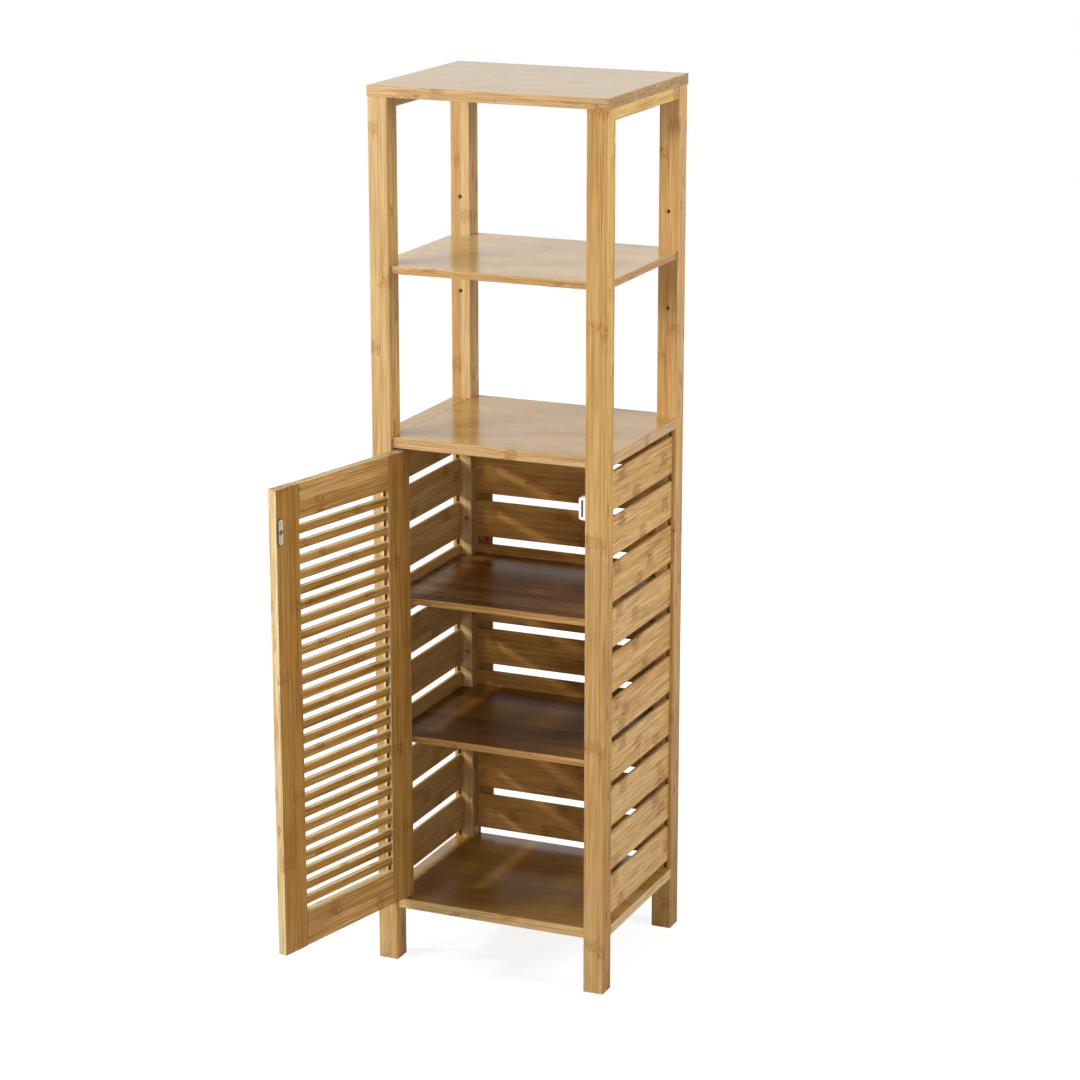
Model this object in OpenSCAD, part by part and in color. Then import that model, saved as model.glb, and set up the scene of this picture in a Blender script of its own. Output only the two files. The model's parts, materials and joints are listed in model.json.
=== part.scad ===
// Linen cabinet on four square legs, with two open bays over a slatted cupboard.
// X runs to the right, Y to the back and Z up. The origin is on the floor, in the
// middle of the front left leg's foot. The door is drawn swung open by door_open.

/* [Cabinet] */
// Width over the outer faces of the legs
body_w = 388; // [320:1:560]
// Depth over the outer faces of the legs
body_d = 326; // [260:1:460]
// Height from the floor to the top of the top board
body_h = 1400; // [1340:1:1600]
// Side of the square legs
leg = 33; // [31:0.5:42]
// Rounding of the long edges of the timber
ease = 1.5; // [0.5:0.1:2.5]

/* [Boards] */
// Clear height under the bottom board
floor_gap = 88; // [40:1:140]
// Clear height of the cupboard, between the bottom board and the deck
cupboard_h = 740; // [700:1:780]
// Thickness of the top board, the deck and the bottom board
board_t = 17; // [14:0.5:24]
// How far the top board stands out past the legs
top_overhang = 1.5; // [0:0.5:12]
// How far the deck and the bottom board lie behind the front faces of the legs
board_setback = 3.5; // [0:0.5:8]
// Height of the rails under the top board
top_rail_h = 19.5; // [14:0.5:40]
// Thickness of the rails under the top board
top_rail_t = 22; // [14:0.5:26]
// How far the top rails lie behind the outer faces of the legs
top_rail_setback = 2; // [0:0.5:5]

/* [Shelves] */
// Thickness of the loose shelves
shelf_t = 12; // [9:0.5:18]
// How far the open shelf lies inside the outer faces at the sides
open_shelf_side = 2; // [0:0.5:8]
// How far the open shelf lies behind the front faces of the legs
open_shelf_setback = 4; // [0:0.5:10]
// Play between a loose shelf and what stands round it
shelf_play = 1; // [0.5:0.1:3]
// Height of the lowest row of pin holes over the board below it
first_row = 175; // [140:1:200]
// Distance between the rows of pin holes
row_pitch = 76; // [60:1:80]
// Diameter of the shelf pins
pin_d = 5; // [4:0.5:6]
// Diameter of the countersunk mouth of a pin hole
pin_mouth_d = 8.5; // [7:0.5:10]
// How far a shelf pin goes into its leg
pin_in = 9; // [6:0.5:12]
// How far a shelf pin stands out of its leg
pin_out = 10; // [6:0.5:14]
// Height of a shelf's underside over the middle of its pins
pin_rest = 3.2; // [3:0.1:4.5]

/* [Slatted sides] */
// Number of slats in each side and in the back
slat_count = 10; // [5:1:10]
// Height of a slat
slat_h = 60; // [48:1:64]
// Thickness of a slat
slat_t = 6; // [4:0.5:8]
// How far the slats lie behind the outer faces of the legs
slat_setback = 6; // [4:0.5:7]
// Depth of the grooves in the legs
groove_depth = 8; // [5:0.5:9]
// Width of the battens behind the back slats
batten_w = 24; // [15:1:40]
// Distance from a cupboard leg's inner face to the middle of its pin holes
inner_pin_offset = 9.5; // [7:0.5:12]

/* [Door] */
// Angle at which the door is drawn open
door_open = 103; // [0:1:108]
// Thickness of the door's frame
door_t = 16; // [14:0.5:20]
// Gap between the door and the leg at each side
door_gap = 5; // [4.5:0.5:7]
// Gap over the door
door_gap_top = 3; // [2:0.5:6]
// Gap under the door
door_gap_bottom = 5; // [2:0.5:8]
// How far the shut door lies behind the front faces of the legs
door_setback = 2.5; // [1:0.5:4]
// Width of the door's stiles
stile_w = 51.5; // [40:0.5:70]
// Height of the door's rails
rail_h = 54.5; // [40:0.5:80]
// Number of slats in the door
door_slat_count = 26; // [10:1:27]
// Height of a door slat
door_slat_h = 12; // [8:0.5:16]
// Thickness of a door slat
door_slat_t = 11; // [8:0.5:12]
// Thickness of the tongues on the ends of the door's rails and slats
tongue_t = 5; // [4:0.5:6]
// Depth of the groove in the stiles
stile_groove = 8; // [5:0.5:12]
// Distance of the pivot from the door's hinge edge
pivot_inset = 8; // [7.5:0.5:9]
// Diameter of the pivot pins
pivot_d = 5; // [4:0.5:6]
// Outer diameter of the pivot bushes
bush_d = 9; // [7.5:0.5:10]
// Depth of the pivot bushes in the door
bush_depth = 18; // [12:1:30]
// How far a pivot pin goes into its board
pivot_in = 11; // [8:0.5:12]

/* [Catch] */
// Height of the strike plate and of the catch's box
plate_h = 42; // [34:1:60]
// Width of the strike plate
plate_w = 13; // [10:0.5:16]
// Thickness of the strike plate
plate_t = 1.5; // [1:0.1:2.5]
// Distance of the strike plate's middle from the door's free edge
plate_inset = 8; // [7:0.5:20]
// Distance of the catch's middle below the deck
catch_drop = 68; // [50:1:120]
// How far the catch stands out from its leg
catch_reach = 18.5; // [16:0.5:24]
// Height of the catch's box
catch_h = 34.5; // [30:0.5:50]
// Height of the catch's mounting flange
catch_flange_h = 54; // [52:1:70]
// Depth of the catch, from front to back
catch_depth = 12.5; // [10:0.5:12.5]
// Height of the magnet
magnet_h = 26; // [20:0.5:28]
// Width of the magnet
magnet_w = 3; // [2:0.5:4]

/* [Dowels] */
// Diameter of the dowels
dowel_d = 8; // [6:0.5:9]
// Length of the dowels
dowel_l = 30; // [24:1:32]
// Distance of a leg's long dowels from the leg's outer faces
dowel_offset = 11; // [8:0.5:12]
// Distance of the boards' sideways dowels from the front or back of the legs
side_dowel_offset = 22; // [20:0.5:23]
// How far a leg's dowel goes into the top board
dowel_in_top = 10; // [8:0.5:11]

/* [Hidden] */
$fn = 48;
eps = 0.5;          // overshoot of every cut
fit = 0.15;         // clearance round fixed joints
dowel_fit = 0.05;   // clearance round a dowel and at a shelf pin's hole
run_fit = 0.05;     // radial clearance of a bush on its pin
end_gap = 0.3;      // gap between turning faces that lie flat on each other
row_count = 3;      // rows of pin holes for one loose shelf
slat_end_gap = 0.5; // play at the end of a slat in its groove

oak = [0.80, 0.63, 0.40];
pale = [0.86, 0.72, 0.50];
honey = [0.62, 0.44, 0.24];
steel = [0.75, 0.75, 0.73];
white = [0.93, 0.93, 0.91];
dark = [0.18, 0.20, 0.19];

// Plan of the legs
x_left = -leg / 2;
x_right = x_left + body_w;
y_front = -leg / 2;
y_back = y_front + body_d;
in_left = x_left + leg;
in_right = x_right - leg;
in_front = y_front + leg;
in_back = y_back - leg;

// Levels
z_bottom = floor_gap + board_t;
z_deck_under = z_bottom + cupboard_h;
z_deck = z_deck_under + board_t;
z_top_under = body_h - board_t;
slat_gap = (cupboard_h - slat_count * slat_h) / (slat_count + 1);
slat_step = slat_h + slat_gap;
slat_inner = slat_setback + slat_t;
cupboard_row = z_bottom + first_row;
deck_row = z_deck + first_row;
rows_lower = [for (k = [0 : row_count - 1]) cupboard_row + k * row_pitch];
rows_upper = [for (k = [0 : row_count - 1]) cupboard_row + (k + row_count) * row_pitch];
rows_open = [for (k = [0 : row_count - 1]) deck_row + k * row_pitch];
row_used = 1;
pin_open = leg / 2;
pin_inner = leg - inner_pin_offset;
pin_tongue_t = 1.2;
pin_tongue_w = 12;

// Door, shut: from door_x0 at the hinge edge to door_x1 at the free edge
door_x0 = in_left + door_gap;
door_x1 = in_right - door_gap;
door_y0 = y_front + door_setback;
door_y1 = door_y0 + door_t;
door_z0 = z_bottom + door_gap_bottom;
door_z1 = z_deck_under - door_gap_top;
pivot_x = door_x0 + pivot_inset;
pivot_y = door_y0 + door_t / 2;
bush_flange_d = bush_d + 4;
slat_span = door_z1 - door_z0 - 2 * rail_h;
door_slat_gap = (slat_span - door_slat_count * door_slat_h) / (door_slat_count + 1);
door_slat_step = door_slat_h + door_slat_gap;
rail_l = door_x1 - door_x0 - 2 * stile_w;

// Catch
catch_z = z_deck_under - catch_drop;
plate_x = door_x1 - plate_inset;
catch_y = door_y1 + plate_t + end_gap;
catch_box_w = 2 * (plate_x - (in_right - catch_reach));
flange_t = 2.5;
catch_screw_d = 3.5;
catch_screw_rise = (catch_h + catch_flange_h) / 4;
catch_screw_l = 16;
screw_head_d = 6.5;
plate_screw_l = 12;

sides = ["left", "right"];

// Rectangle with rounded corners, from the origin
module eased(w, d, r = ease) {
    translate([r, 0]) square([w - 2 * r, d]);
    translate([0, r]) square([w, d - 2 * r]);
    for (x = [r, w - r], y = [r, d - r]) translate([x, y]) circle(r);
}

// Timber along Z, X or Y, from its lowest corner, with its long edges rounded
module post(x, y, z, r = ease) {
    linear_extrude(z) eased(x, y, r);
}

module bar_x(x, y, z, r = ease) {
    translate([0, y, 0]) rotate([90, 0, 90]) mirror([1, 0, 0]) linear_extrude(x) eased(y, z, r);
}

module bar_y(x, y, z, r = ease) {
    translate([0, y, 0]) rotate([90, 0, 0]) linear_extrude(y) eased(x, z, r);
}

// Waste of a rounded edge, along X from the origin, with the timber towards +Y and +Z
module edge_waste(length, r = ease) {
    rotate([90, 0, 90]) linear_extrude(length) difference() {
        translate([-eps, -eps]) square(r + eps);
        translate([r, r]) circle(r);
    }
}

// Waste of the upper and lower edges all round a board that fills w by d by t
module board_waste(w, d, t, r = ease) {
    for (top = [0, 1]) translate([0, 0, top * t]) mirror([0, 0, top]) {
        translate([-eps, 0, 0]) edge_waste(w + 2 * eps, r);
        translate([-eps, d, 0]) mirror([0, 1, 0]) edge_waste(w + 2 * eps, r);
        translate([0, d + eps, 0]) rotate([0, 0, -90]) edge_waste(d + 2 * eps, r);
        translate([w, -eps, 0]) rotate([0, 0, 90]) edge_waste(d + 2 * eps, r);
    }
}

// Board that fills the box from low to high, less a corner box at each leg
module notched_board(low, high, play, front_notches = true) {
    size = high - low;
    difference() {
        translate(low) cube(size);
        translate(low) board_waste(size.x, size.y, size.z);
        for (right = [0, 1], back = front_notches ? [0, 1] : [1])
            leg_box(right, back, play, low.z, high.z);
    }
}

// Box of a leg and the play round it, between two levels
module leg_box(right, back, play, z0, z1) {
    translate([right ? in_right - play : x_left - eps,
               back ? in_back - play : y_front - eps, z0 - eps])
        cube([leg + play + eps, leg + play + eps, z1 - z0 + 2 * eps]);
}

// Puts a left front piece at the right or at the back
module at_corner(right, back) {
    translate([right ? x_left + x_right : 0, back ? y_front + y_back : 0, 0])
        mirror([right, 0, 0]) mirror([0, back, 0]) children();
}

// Round bore or dowel along an axis, centred on a joint face
module dowel_at(p, dir, inside, outside, d) {
    translate(p) rotate(dir == "x" ? [0, 90, 0] : dir == "y" ? [-90, 0, 0] : [0, 0, 0])
        translate([0, 0, -inside]) cylinder(d = d, h = inside + outside);
}

// Dowels of the front left corner, each as long as dowel_l, or bores for them
module corner_dowels(extra = 0, gap = 0) {
    d = dowel_d + 2 * extra;
    half = dowel_l / 2 + gap;
    for (z = [floor_gap + board_t / 2, z_deck_under + board_t / 2]) {
        dowel_at([in_left, y_front + side_dowel_offset, z], "x", half, half, d);
        dowel_at([x_left + dowel_offset, in_front, z], "y", half, half, d);
    }
    dowel_at([x_left + top_rail_setback + top_rail_t / 2, in_front, z_top_under - top_rail_h / 2],
             "y", half, half, d);
    dowel_at([x_left + dowel_offset, y_front + dowel_offset, z_top_under],
             "z", dowel_l - dowel_in_top + gap, dowel_in_top + gap, d);
}

module all_dowels(extra = 0, gap = 0) {
    for (right = [0, 1], back = [0, 1]) at_corner(right, back) corner_dowels(extra, gap);
}

// Cuts the dowel bores out of a piece
module bored() {
    difference() {
        children();
        all_dowels(dowel_fit, 0.5);
    }
}

// Front left leg: back grooves the side facing the back leg, side grooves the inner side
module corner_leg(back) {
    difference() {
        translate([x_left, y_front, 0]) post(leg, leg, z_top_under);
        translate([x_left + slat_setback - fit, in_front - groove_depth, z_bottom])
            cube([slat_t + 2 * fit, groove_depth + eps, cupboard_h]);
        if (back)
            translate([in_left - groove_depth, y_front + slat_setback - fit, z_bottom])
                cube([groove_depth + eps, slat_t + 2 * fit, cupboard_h]);
        for (z = rows_open) pin_hole(pin_open, z);
        for (z = concat(rows_lower, rows_upper)) pin_hole(pin_inner, z);
    }
}

// Bore for a shelf pin in the side facing the back leg, countersunk at its mouth
module pin_hole(offset, z) {
    bore = pin_d / 2 + dowel_fit;
    mouth = pin_mouth_d / 2;
    translate([x_left + offset, in_front, z]) rotate([90, 0, 0]) rotate_extrude()
        polygon([[0, -eps], [mouth + eps, -eps], [bore, mouth - bore], [bore, pin_in + 1], [0, pin_in + 1]]);
}

module leg_front_left() {
    color(oak) bored() corner_leg(false);
}

module leg_front_right() {
    color(oak) difference() {
        bored() at_corner(1, 0) corner_leg(false);
        catch_screw_set(dowel_fit, 1);
    }
}

module leg_back_left() {
    color(oak) bored() at_corner(0, 1) corner_leg(true);
}

module leg_back_right() {
    color(oak) bored() at_corner(1, 1) corner_leg(true);
}

module top_board() {
    w = body_w + 2 * top_overhang;
    d = body_d + 2 * top_overhang;
    color(pale) bored() translate([x_left - top_overhang, y_front - top_overhang, z_top_under])
        difference() {
            linear_extrude(board_t) eased(w, d, 2 * ease);
            board_waste(w, d, board_t);
        }
}

module top_rail(right) {
    color(oak) bored() at_corner(right, 0)
        translate([x_left + top_rail_setback, in_front, z_top_under - top_rail_h])
            bar_y(top_rail_t, in_back - in_front, top_rail_h);
}

module open_shelf() {
    z = rows_open[row_used] + pin_rest;
    color(pale) notched_board(
        [x_left + open_shelf_side, y_front + open_shelf_setback, z],
        [x_right - open_shelf_side, y_back - open_shelf_setback, z + shelf_t], shelf_play);
}

module inner_shelf(rows) {
    z = rows[row_used] + pin_rest;
    color(pale) notched_board(
        [x_left + slat_inner + shelf_play, in_front + shelf_play, z],
        [x_right - slat_inner - shelf_play, y_back - slat_inner - shelf_play, z + shelf_t],
        shelf_play, false);
}

// Deck or bottom board, with all its edges in line with the legs but the front one
module fixed_board(z) {
    notched_board([x_left, y_front + board_setback, z], [x_right, y_back - board_setback, z + board_t],
                  fit);
}

module deck_board() {
    color(pale) difference() {
        bored() fixed_board(z_deck_under);
        deck_strip_box(0);
        pivot_bore(z_deck_under, 1);
    }
}

module deck_strip() {
    color(pale) intersection() {
        bored() fixed_board(z_deck_under);
        deck_strip_box(fit);
    }
}

module deck_strip_box(gap) {
    translate([x_left - eps, in_front - eps, z_deck_under - eps])
        cube([leg + eps - gap, in_back - in_front + 2 * eps, board_t + 2 * eps]);
}

module bottom_board() {
    color(pale) difference() {
        bored() fixed_board(floor_gap);
        pivot_bore(z_bottom, -1);
    }
}

// Slats are counted from the bottom
function slat_z(i) = z_bottom + slat_gap + (i - 1) * slat_step;

module side_slat(i, right) {
    start = in_front - groove_depth + slat_end_gap;
    color(oak) at_corner(right, 0) translate([x_left + slat_setback, start, slat_z(i)])
        bar_y(slat_t, y_front + y_back - 2 * start, slat_h);
}

module back_slat(i) {
    start = in_left - groove_depth + slat_end_gap;
    color(oak) translate([start, y_back - slat_inner, slat_z(i)])
        bar_x(x_left + x_right - 2 * start, slat_t, slat_h);
}

module back_batten(right) {
    color(oak) at_corner(right, 0)
        translate([in_left + fit, y_back - slat_setback, slat_z(1)])
            post(batten_w, slat_setback, slat_z(slat_count) + slat_h - slat_z(1));
}

// Turns a piece of the shut door to where it stands open
module swung() {
    translate([pivot_x, pivot_y, 0]) rotate([0, 0, -door_open]) translate([-pivot_x, -pivot_y, 0])
        children();
}

module pivot_bore(z, up) {
    translate([pivot_x, pivot_y, z]) mirror([0, 0, up > 0 ? 0 : 1]) translate([0, 0, -eps])
        cylinder(d = pivot_d + 2 * dowel_fit, h = pivot_in + 1 + eps);
}

// Stile of the shut door with its grooved edge towards +X
module stile() {
    width = tongue_t + 2 * fit;
    difference() {
        post(stile_w, door_t, door_z1 - door_z0);
        translate([stile_w - stile_groove, (door_t - width) / 2, -eps])
            cube([stile_groove + eps, width, door_z1 - door_z0 + 2 * eps]);
    }
}

module door_stile_hinge() {
    color(honey) swung() difference() {
        translate([door_x0, door_y0, door_z0]) stile();
        for (z = [door_z0, door_z1]) translate([pivot_x, pivot_y, z - bush_depth])
            cylinder(d = bush_d + 2 * dowel_fit, h = 2 * bush_depth);
    }
}

module door_stile_free() {
    color(honey) swung() difference() {
        translate([door_x1, door_y0, door_z0]) mirror([1, 0, 0]) stile();
        strike_screw_at(dowel_fit, 1);
    }
}

// Piece between the stiles, its front at y in the door's thickness, with a tongue at each end
module tongued_bar(y, z, thickness, height) {
    reach = stile_groove - slat_end_gap;
    translate([door_x0 + stile_w, door_y0, z]) {
        translate([0, y, 0]) bar_x(rail_l, thickness, height);
        translate([-reach, (door_t - tongue_t) / 2, 0]) cube([rail_l + 2 * reach, tongue_t, height]);
    }
}

module door_rail(z) {
    color(honey) swung() tongued_bar(0, z, door_t, rail_h);
}

module door_slats() {
    color(honey) swung() for (i = [0 : door_slat_count - 1])
        tongued_bar((door_t - door_slat_t) / 2, door_z0 + rail_h + door_slat_gap + i * door_slat_step,
                    door_slat_t, door_slat_h);
}

// Plate with round ends on the inner face of the door
module strike_plate() {
    dimple_d = 2.2;
    color(steel) swung() difference() {
        translate([plate_x, door_y1, catch_z]) rotate([-90, 0, 0]) linear_extrude(plate_t) {
            square([plate_w, plate_h - plate_w], center = true);
            for (s = [-1, 1]) translate([0, s * (plate_h - plate_w) / 2]) circle(d = plate_w);
        }
        strike_screw_at(dowel_fit, 0);
        for (s = [-1, 1]) translate([plate_x, door_y1 + plate_t / 2, catch_z + s * plate_h / 3])
            rotate([-90, 0, 0]) cylinder(d = dimple_d, h = plate_t);
    }
}

// Countersunk screw along +Z, its head's top at the origin, or the waste for it
module screw(length, head_d, shank_d, extra = 0, deeper = 0) {
    head_h = (head_d - shank_d) / 2;
    rotate_extrude() polygon([[0, 0], [head_d / 2 + extra, 0], [shank_d / 2 + extra, -head_h],
                              [shank_d / 2 + extra, -length - deeper], [0, -length - deeper]]);
}

// Cross recess in a screw's head
module cross_recess(head_d) {
    arm = head_d / 2;
    depth = head_d / 7;
    for (a = [0, 90]) rotate([0, 0, a])
        translate([-arm / 2, -head_d / 14, -depth]) cube([arm, head_d / 7, 2 * depth]);
}

module strike_screw_at(extra = 0, deeper = 0) {
    translate([plate_x, door_y1 + plate_t, catch_z]) rotate([-90, 0, 0])
        screw(plate_screw_l, screw_head_d, catch_screw_d, extra, deeper);
}

module strike_screw() {
    color(steel) swung() difference() {
        strike_screw_at();
        translate([plate_x, door_y1 + plate_t, catch_z]) rotate([-90, 0, 0]) cross_recess(screw_head_d);
    }
}

module at_catch_screws() {
    for (s = [-1, 1])
        translate([in_right - flange_t, catch_y + catch_depth / 2, catch_z + s * catch_screw_rise])
            rotate([0, -90, 0]) children();
}

module catch_screw_set(extra = 0, deeper = 0) {
    at_catch_screws() screw(catch_screw_l, screw_head_d - 1, catch_screw_d, extra, deeper);
}

// White box on a flange that is screwed to the inner face of the front right leg
module catch_housing() {
    slope = 2;
    color(white) difference() {
        union() {
            translate([in_right - flange_t, catch_y, catch_z - catch_flange_h / 2])
                cube([flange_t, catch_depth, catch_flange_h]);
            translate([in_right, catch_y + catch_depth, catch_z]) rotate([90, 0, 0])
                linear_extrude(catch_depth) polygon([
                    [0, -catch_h / 2 - slope], [0, catch_h / 2 + slope],
                    [-catch_reach + slope, catch_h / 2], [-catch_reach, catch_h / 2 - slope],
                    [-catch_reach, -catch_h / 2 + slope], [-catch_reach + slope, -catch_h / 2]]);
        }
        magnet_box(fit, eps);
        catch_screw_set(fit, 1);
    }
}

module magnet_box(gap = 0, proud = 0) {
    depth = catch_depth * 0.7;
    translate([plate_x - magnet_w / 2 - gap, catch_y - proud, catch_z - magnet_h / 2 - gap])
        cube([magnet_w + 2 * gap, depth + proud, magnet_h + 2 * gap]);
}

module catch_magnet() {
    color(dark) magnet_box();
}

module catch_screws() {
    color(steel) difference() {
        catch_screw_set();
        at_catch_screws() cross_recess(screw_head_d - 1);
    }
}

// Pin from a board into the door's bush
module pivot_pin_from(z, up) {
    reach = (up > 0 ? door_gap_top : door_gap_bottom) + bush_depth - 2;
    translate([pivot_x, pivot_y, z]) mirror([0, 0, up > 0 ? 0 : 1]) translate([0, 0, -reach])
        cylinder(d = pivot_d, h = reach + pivot_in);
}

module pivot_pins() {
    color(steel) {
        pivot_pin_from(z_deck_under, 1);
        pivot_pin_from(z_bottom, -1);
    }
}

// Flanged bush in the door's end, its flange in the gap
module bush(gap) {
    difference() {
        union() {
            translate([0, 0, -bush_depth]) cylinder(d = bush_d, h = bush_depth);
            cylinder(d = bush_flange_d, h = gap - end_gap);
        }
        translate([0, 0, -bush_depth - eps]) cylinder(d = pivot_d + 2 * run_fit, h = bush_depth + gap + eps);
    }
}

module pivot_bush_top() {
    color(white) translate([pivot_x, pivot_y, door_z1]) bush(door_gap_top);
}

module pivot_bush_bottom() {
    color(white) translate([pivot_x, pivot_y, door_z0]) mirror([0, 0, 1]) bush(door_gap_bottom);
}

// Shelf pin in the front left leg, with a flat tongue that the shelf lies on
module shelf_pin() {
    translate([0, pin_out, 0]) rotate([90, 0, 0]) cylinder(d = pin_d, h = pin_in + pin_out);
    translate([-pin_tongue_w / 2, 0, pin_rest - pin_tongue_t]) cube([pin_tongue_w, pin_out, pin_tongue_t]);
}

module shelf_pins() {
    color(steel) for (right = [0, 1], back = [0, 1]) at_corner(right, back) {
        translate([x_left + pin_open, in_front, rows_open[row_used]]) shelf_pin();
        for (rows = [rows_lower, rows_upper])
            translate([x_left + pin_inner, in_front, rows[row_used]]) shelf_pin();
    }
}

module frame_dowels() {
    color(pale) all_dowels();
}

leg_front_left();
leg_front_right();
leg_back_left();
leg_back_right();
top_board();
top_rail(0);  // top_rail_left
top_rail(1);  // top_rail_right
open_shelf();
deck_board();
deck_strip();
bottom_board();
inner_shelf(rows_upper);  // upper_shelf
inner_shelf(rows_lower);  // lower_shelf
for (i = [1 : slat_count]) {
    side_slat(i, 0);
    side_slat(i, 1);
    back_slat(i);
}
back_batten(0);  // back_batten_left
back_batten(1);  // back_batten_right
door_stile_hinge();
door_stile_free();
door_rail(door_z1 - rail_h);  // door_rail_top
door_rail(door_z0);  // door_rail_bottom
door_slats();
strike_plate();
strike_screw();
catch_housing();
catch_magnet();
catch_screws();
pivot_pins();
pivot_bush_top();
pivot_bush_bottom();
shelf_pins();
frame_dowels();
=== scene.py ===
"""A tall bamboo linen cabinet: its finishes, a studio and a camera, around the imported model."""

from dataclasses import dataclass
import json
import math
import random

import bpy
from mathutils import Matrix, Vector


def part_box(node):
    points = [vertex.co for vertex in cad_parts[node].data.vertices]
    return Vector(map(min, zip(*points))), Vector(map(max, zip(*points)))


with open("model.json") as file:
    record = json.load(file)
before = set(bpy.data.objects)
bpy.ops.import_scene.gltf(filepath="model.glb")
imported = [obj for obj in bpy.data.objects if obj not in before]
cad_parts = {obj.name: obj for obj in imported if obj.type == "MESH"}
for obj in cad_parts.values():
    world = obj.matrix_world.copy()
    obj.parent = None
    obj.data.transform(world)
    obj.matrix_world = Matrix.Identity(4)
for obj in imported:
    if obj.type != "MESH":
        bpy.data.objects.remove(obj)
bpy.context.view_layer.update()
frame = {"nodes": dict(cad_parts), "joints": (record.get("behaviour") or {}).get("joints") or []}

MM = 0.001
WHITE = (1.0, 1.0, 1.0, 1.0)

# The camera stands to the right of the front and looks down a little. Its angles are in degrees
CAMERA_PLACE = (2.0817, -4.2226, 2.0015)
CAMERA_AZIMUTH = 23.36
CAMERA_PITCH = 15.55
CAMERA_LENS = 104.65
SENSOR = 36.0

# Where the lamps point, and each lamp's place, its width and height in metres, and its power in watts
LAMP_TARGET = (0.17, 0.1, 0.8)
LAMPS = {
    "key": ((-1.75, -2.15, 2.0), (1.0, 1.2), 82.0),
    "side_left": ((-2.5, -1.1, 1.75), (0.23, 0.23), 60.0),
    "side_right": ((2.7, 0.1, 1.8), (0.9, 0.9), 50.0),
    "front_fill": ((1.65, -3.1, 1.5), (1.0, 1.0), 22.0),
    "overhead": ((0.2, 0.2, 3.4), (1.2, 1.2), 18.0),
}

# How strongly the white surroundings light the cabinet, and how bright they look where they are seen
SURROUND_LIGHT = 0.12
SURROUND_WHITE = 1.0

# The floor reflects light onto the cabinet as a pale floor does. Where it is seen, it glows by itself and
# adds a share of the lamps' light, which keeps a soft shadow. The glow rises to white as it leaves the
# cabinet, between two distances in metres from the floor's middle
FLOOR_ALBEDO = 0.75
FLOOR_SHADE = 0.25
FLOOR_GLOW = 0.86
FADE_START = 0.35
FADE_END = 1.1
FLOOR_SIZE = 9.0
FLOOR_MIDDLE = (0.18, 0.15, 0.0)

# The door's own axes: it is stored standing open, turned by this much about its pivot
door_joint = frame["joints"][0]
DOOR_PIVOT = Vector(door_joint["pos_m"])
DOOR_TURN = math.radians(door_joint["range_deg"][1])

# Bamboo comes in several shades, each with the deep, middle and pale tones of its strips, in sRGB. The shades
# differ partly as the bamboo does and partly as painted light and shade: the paler ones go on pieces and
# faces that the lamps light strongly, the deeper ones on pieces and faces in shade
CREAM = ((170, 132, 80), (190, 160, 112), (200, 175, 135))
PALE_BOARD = ((170, 132, 69), (184, 148, 81), (194, 160, 97))
HONEY = ((152, 112, 59), (185, 146, 89), (199, 166, 117))
STRAW = ((156, 117, 68), (177, 142, 91), (191, 158, 110))
AMBER = ((124, 84, 34), (157, 115, 55), (181, 141, 82))
CHESTNUT = ((140, 96, 40), (179, 132, 67), (194, 152, 91))
GOLD = ((161, 120, 62), (194, 155, 92), (204, 172, 117))
LIGHT_BOARD = ((194, 158, 94), (210, 176, 112), (217, 188, 129))
TAN = ((148, 107, 51), (168, 128, 70), (184, 147, 90))
CARAMEL = ((180, 132, 72), (200, 158, 94), (210, 176, 118))
RUSSET = ((98, 62, 18), (146, 102, 38), (174, 134, 66))
BUTTER = ((184, 144, 77), (207, 173, 109), (218, 190, 133))
OLIVE = ((156, 116, 56), (189, 147, 80), (214, 178, 110))
LIT_IVORY = ((181, 155, 107), (197, 177, 133), (204, 187, 151))

# Stains that darken the strips: the sRGB colour that each multiplies in, and how strongly, which for a glue
# line is for the cut to say
BLUSH = ((255, 242, 228), 0.5)
BUNDLE = ((184, 148, 94), 0.45)
FLECK = ((160, 122, 72), 0.5)
KNUCKLE = ((230, 202, 160), 0.42)
SQUIGGLE = ((152, 112, 56), 0.62)
PINHOLE = ((110, 76, 40), 1.0)
GLUE_COLOUR = (160, 120, 82)

# Colours that cover what they lie on, in sRGB, and how strongly two of them do
PALE_FIBRE = (201, 170, 129)
PALE_FIBRE_SHARE = 0.22
END_GRAIN = (131, 96, 50)
END_DOT = (100, 72, 42)
END_DOT_SHARE = 0.8

# Marks that noise draws out along the grain: their length and width in millimetres, the noise at which they
# start and at which they are whole, and how fine the noise is
FIBRES = {"length": 130.0, "width": 1.5, "low": 0.36, "high": 0.64, "detail": 1.5, "roughness": 0.6}
STREAKS = {"length": 260.0, "width": 4.5, "low": 0.34, "high": 0.66, "roughness": 0.6}
CLOUDS = {"length": 150.0, "width": 40.0, "low": 0.30, "high": 0.70, "detail": 1.0}
BLUSHES = {"length": 190.0, "width": 3.6, "low": 0.45, "high": 0.62, "detail": 1.0}
BUNDLES = {"length": 80.0, "width": 1.3, "low": 0.55, "high": 0.66, "detail": 1.0}
FLECKS = {"length": 60.0, "width": 0.7, "low": 0.54, "high": 0.64, "detail": 1.0, "roughness": 0.4}

# How much of the way from the deep tone to the pale one these marks make
FIBRE_TONE = 0.46
STREAK_TONE = 0.34
CLOUD_TONE = 0.16

# How high the marks stand in the lacquer, relative to each other
FIBRE_RELIEF = 0.5
FLECK_RELIEF = -0.35
SEAM_RELIEF = -0.8
KNUCKLE_RELIEF = 0.8
RELIEF_HEIGHT = 0.12 * MM

# How squarely a face looks along an axis before it starts to count as looking that way, and where it counts
# wholly: for the grain's own axis, and for the two others
SQUARE_END = (0.75, 0.92)
SQUARE_FACE = (0.6, 0.9)

# The length of culm that the strips are cut from, in metres, so that the fibres of each differ
CULM = 3.0
# Room round the outermost strips, so that no face of the piece lies on the border of a strip
STRIP_MARGIN = 0.05 * MM
# The share of a glue line that is wholly dark
GLUE_CORE = 0.3

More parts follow.
